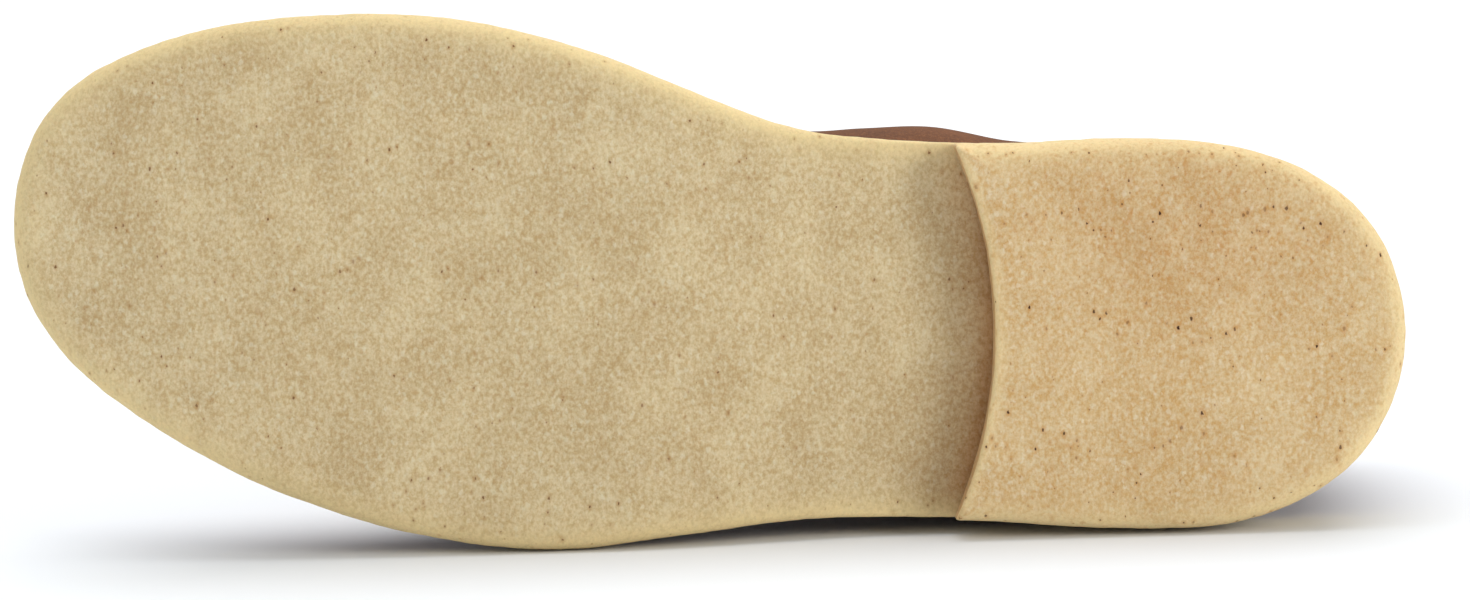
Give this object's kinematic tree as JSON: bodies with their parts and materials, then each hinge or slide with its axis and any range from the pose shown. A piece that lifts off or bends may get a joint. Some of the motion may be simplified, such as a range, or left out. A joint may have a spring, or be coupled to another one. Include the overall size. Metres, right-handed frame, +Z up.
{
  "type": "desert boot",
  "caption": "Ankle-high leather boot on a crepe rubber sole with a low heel lift, lying on its outer side with the tread showing.",
  "frame": {"origin": "centre of the bounding box in X and Y, on the floor in Z", "axes": "+X towards the heel along the floor, -Y the way the tread faces, +Z up; the boot lies on its outer side"},
  "size_m": [0.298, 0.1274, 0.1158],
  "materials": {
    "crepe": "matt granular crepe rubber, pale straw",
    "heel_crepe": "matt granular crepe rubber, slightly warmer, with brown specks",
    "upper_leather": "waxy mid-brown leather with a fine grain",
    "lining_leather": "plain tan lining leather",
    "lace_cord": "round braided brown lace"
  },
  "bodies": {
    "root": {"outsole": "crepe", "heel_lift": "heel_crepe", "upper": "upper_leather", "tongue": "upper_leather", "insole": "lining_leather", "lace": "lace_cord"}
  },
  "joints": []
}
